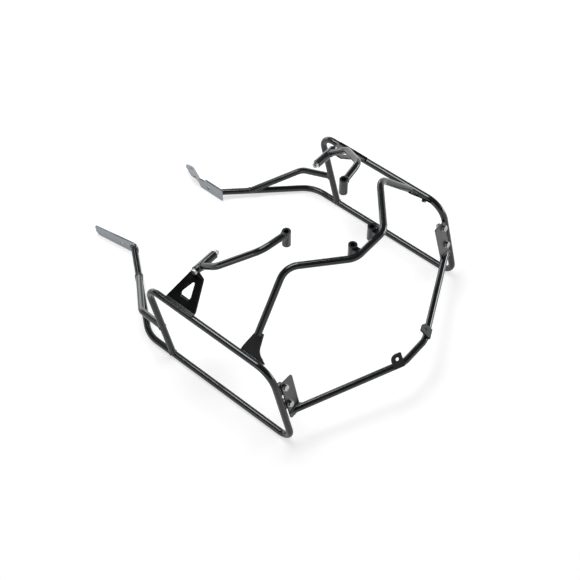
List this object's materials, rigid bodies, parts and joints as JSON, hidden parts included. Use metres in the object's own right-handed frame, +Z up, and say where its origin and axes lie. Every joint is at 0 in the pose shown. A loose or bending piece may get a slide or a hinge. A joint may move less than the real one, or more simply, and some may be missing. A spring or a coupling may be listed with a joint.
{
  "type": "luggage rack",
  "caption": "Welded tube carrier for motorbike side cases: side hoops, forward arms with bolt tabs, curved supports with bolt sleeves, a rear hoop and a crossbar behind.",
  "frame": {"origin": "middle of the bounding box's base, on the floor that the rack stands on", "axes": "+X forward along the motorbike, +Y to its left, +Z up"},
  "size_m": [0.8808, 0.633, 0.389],
  "materials": {
    "black_tube": "satin black powder coat on steel tube",
    "black_plate": "satin black powder coat on steel sheet and plate",
    "zinc": "bright zinc plating on steel fasteners"
  },
  "bodies": {
    "root": {"boss_bolts": "zinc", "bracket_bolts": "zinc", "bracket_nuts": "zinc", "bracket_washers": "zinc", "crossbar_tube": "black_tube", "gusset_bosses": "black_tube", "left_brace_tube": "black_tube", "left_cross_sleeve": "black_tube", "left_crossbar_end_plate": "black_plate", "left_crossbar_lug": "black_plate", "left_front_bracket": "black_plate", "left_front_sleeve": "black_tube", "left_front_tab": "black_plate", "left_gusset": "black_plate", "left_hoop_tube": "black_tube", "left_rear_sleeve": "black_tube", "left_rear_sleeve_lug": "black_tube", "left_strut_plate": "black_plate", "left_support_tube": "black_tube", "plate_bolts": "zinc", "plate_nuts": "zinc", "plate_washers": "zinc", "rear_hoop_tube": "black_tube", "right_brace_tube": "black_tube", "right_cross_sleeve": "black_tube", "right_crossbar_end_plate": "black_plate", "right_crossbar_lug": "black_plate", "right_front_bracket": "black_plate", "right_front_sleeve": "black_tube", "right_front_tab": "black_plate", "right_gusset": "black_plate", "right_hoop_tube": "black_tube", "right_rear_sleeve": "black_tube", "right_rear_sleeve_lug": "black_tube", "right_strut_plate": "black_plate", "right_support_tube": "black_tube"}
  },
  "joints": []
}
